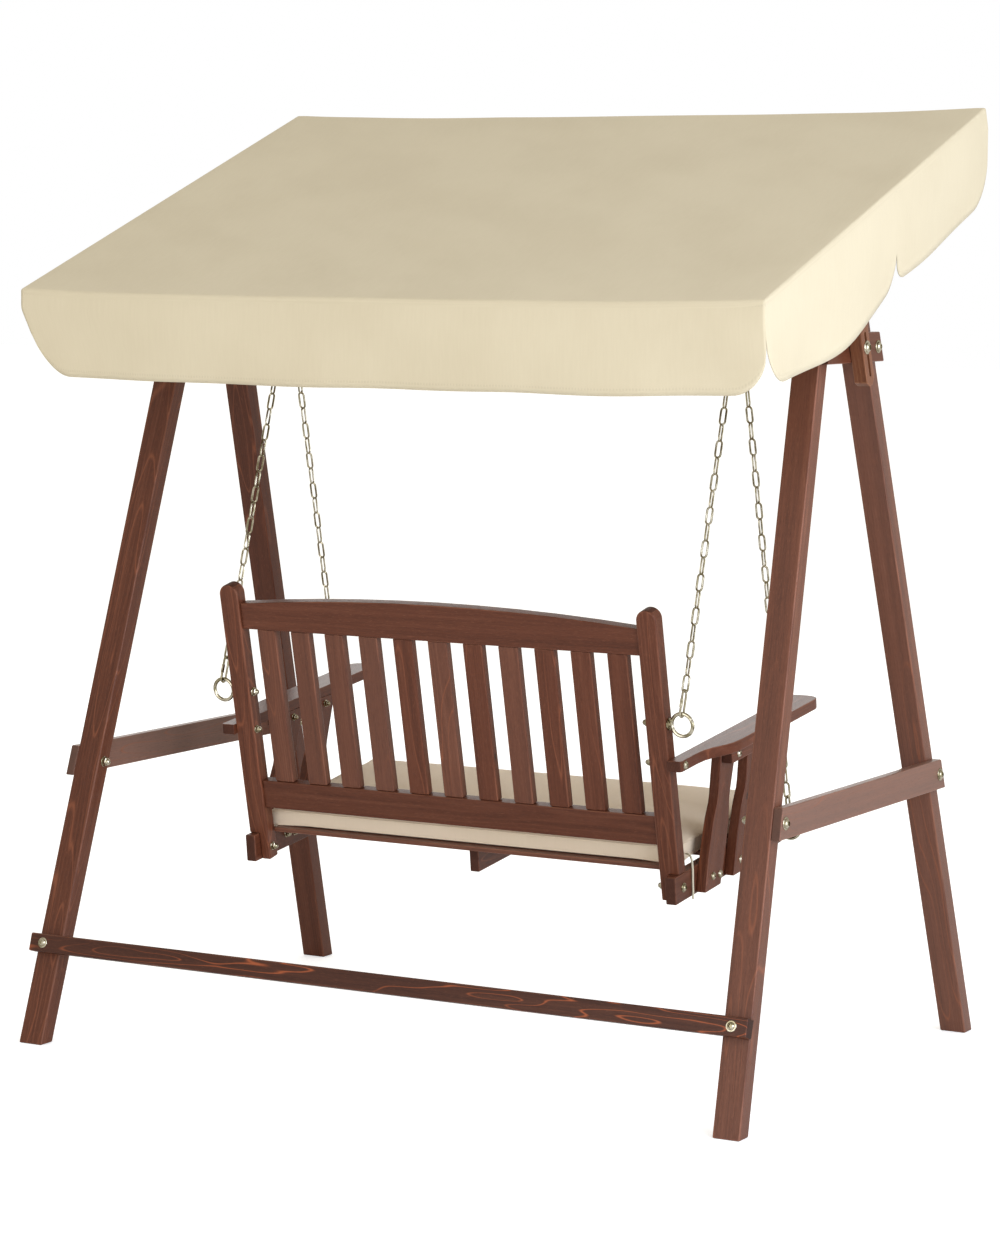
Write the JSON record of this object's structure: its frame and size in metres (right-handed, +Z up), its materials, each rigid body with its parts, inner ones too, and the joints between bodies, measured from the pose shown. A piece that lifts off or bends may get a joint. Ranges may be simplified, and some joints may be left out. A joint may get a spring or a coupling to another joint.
{
  "type": "patio swing",
  "caption": "Slatted timber bench with cushion and armrests, hung on chains from a free-standing A-frame with a tilting, height-adjustable cloth canopy.",
  "frame": {"origin": "on the floor, in the middle of the four feet", "axes": "+Z up, -Y towards the front of the seat, +X towards the right as seen from the front"},
  "size_m": [1.766, 1.202, 2.0444],
  "materials": {
    "stained_timber": "semi-matt reddish-brown stain, open grain",
    "zinc": "bright zinc plating, slightly yellow",
    "canopy_cloth": "matt cream woven polyester",
    "cushion_cloth": "matt cream woven polyester, padded"
  },
  "bodies": {
    "stand": {"leg_front_left": "stained_timber", "leg_front_right": "stained_timber", "leg_back_left": "stained_timber", "leg_back_right": "stained_timber", "side_stretcher_left": "stained_timber", "side_stretcher_right": "stained_timber", "collar_plate_left": "stained_timber", "collar_plate_right": "stained_timber", "foot_rail_back": "stained_timber", "ridge_beam": "stained_timber", "ridge_eye_left": "zinc", "ridge_eye_right": "zinc"},
    "clamp_bolts": {"clamp_bolt_left": "zinc", "clamp_bolt_right": "zinc"},
    "canopy": {"canopy_mast_left": "stained_timber", "canopy_mast_right": "stained_timber", "canopy_rafter_left": "stained_timber", "canopy_rafter_right": "stained_timber", "canopy_rail_front": "stained_timber", "canopy_rail_back": "stained_timber", "canopy_cover": "canopy_cloth"},
    "bench": {"back_post_left": "stained_timber", "back_post_right": "stained_timber", "back_rail_top": "stained_timber", "back_rail_low": "stained_timber", "back_slat_01": "stained_timber", "back_slat_02": "stained_timber", "back_slat_03": "stained_timber", "back_slat_04": "stained_timber", "back_slat_05": "stained_timber", "back_slat_06": "stained_timber", "back_slat_07": "stained_timber", "back_slat_08": "stained_timber", "back_slat_09": "stained_timber", "back_slat_10": "stained_timber", "back_slat_11": "stained_timber", "side_rail_left": "stained_timber", "side_rail_right": "stained_timber", "middle_rail": "stained_timber", "seat_slat_1": "stained_timber", "seat_slat_2": "stained_timber", "seat_slat_3": "stained_timber", "seat_slat_4": "stained_timber", "cushion": "cushion_cloth", "cushion_tie_left": "cushion_cloth", "cushion_tie_right": "cushion_cloth", "armrest_left": "stained_timber", "armrest_right": "stained_timber", "upright_front_left": "stained_timber", "upright_front_right": "stained_timber", "upright_rear_left": "stained_timber", "upright_rear_right": "stained_timber", "eye_bolt_front_left": "zinc", "eye_bolt_front_right": "zinc", "eye_bolt_rear_left": "zinc", "eye_bolt_rear_right": "zinc", "chain_front_left": "zinc", "chain_front_right": "zinc", "chain_rear_left": "zinc", "chain_rear_right": "zinc"}
  },
  "joints": [
    {"name": "canopy_tilt", "type": "hinge", "parent": "stand", "child": "clamp_bolts", "pos_m": [0, 0.019, 1.538], "axis": [1, 0, 0], "range_deg": [-10, 20]},
    {"name": "canopy_height", "type": "slide", "parent": "clamp_bolts", "child": "canopy", "axis": [0, 0.342, 0.9397], "range_m": [-0.025, 0.055]},
    {"name": "bench_swing", "type": "hinge", "parent": "stand", "child": "bench", "pos_m": [0, 0, 1.645], "axis": [1, 0, 0], "range_deg": [-25, 25]}
  ]
}
